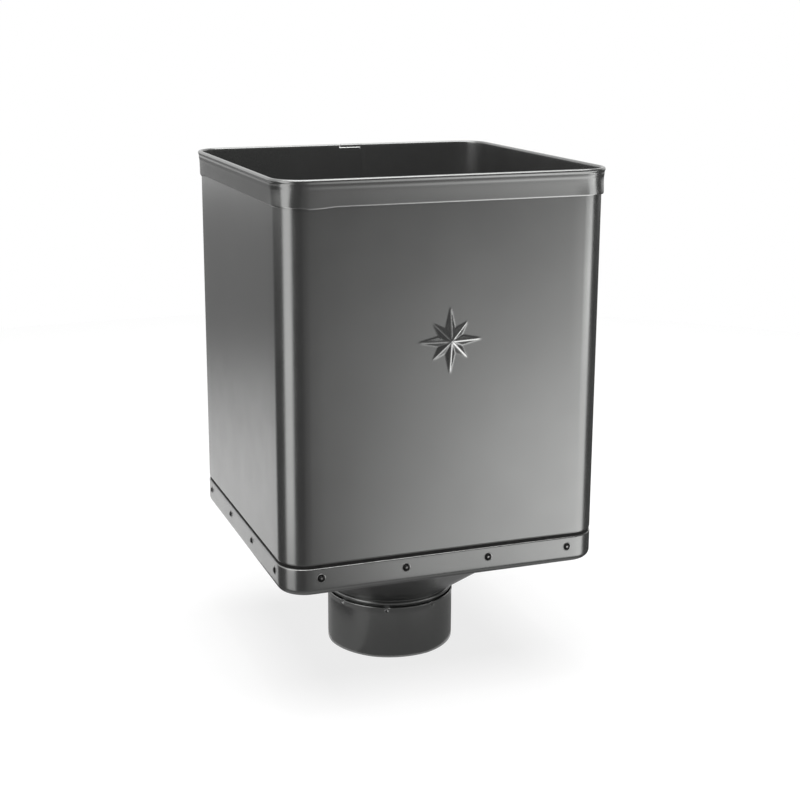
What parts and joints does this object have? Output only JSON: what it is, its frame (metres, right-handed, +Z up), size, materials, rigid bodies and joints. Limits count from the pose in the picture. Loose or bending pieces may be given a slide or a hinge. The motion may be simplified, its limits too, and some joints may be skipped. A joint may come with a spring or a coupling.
{
  "type": "downpipe hopper head",
  "caption": "Square sheet-metal hopper head with a hemmed open rim, a pressed star, a riveted funnel floor and a round spigot that takes roof water into a downpipe.",
  "frame": {"origin": "on the outlet's axis at the lower end of the outlet tube", "axes": "+Z up along the outlet's axis, -Y towards the front wall with the star, +X to the right seen from the front"},
  "size_m": [0.2442, 0.2463, 0.378],
  "materials": {
    "coated_sheet": "satin",
    "rivet_sleeve": "satin",
    "rivet_stem": "dull"
  },
  "bodies": {
    "root": {"body_shell": "coated_sheet", "floor_pan": "coated_sheet", "outlet_tube": "coated_sheet", "pan_rivet_sleeves": "rivet_sleeve", "pan_rivet_stems": "rivet_stem", "seam_rivet_sleeves": "rivet_sleeve", "seam_rivet_stems": "rivet_stem"}
  },
  "joints": []
}
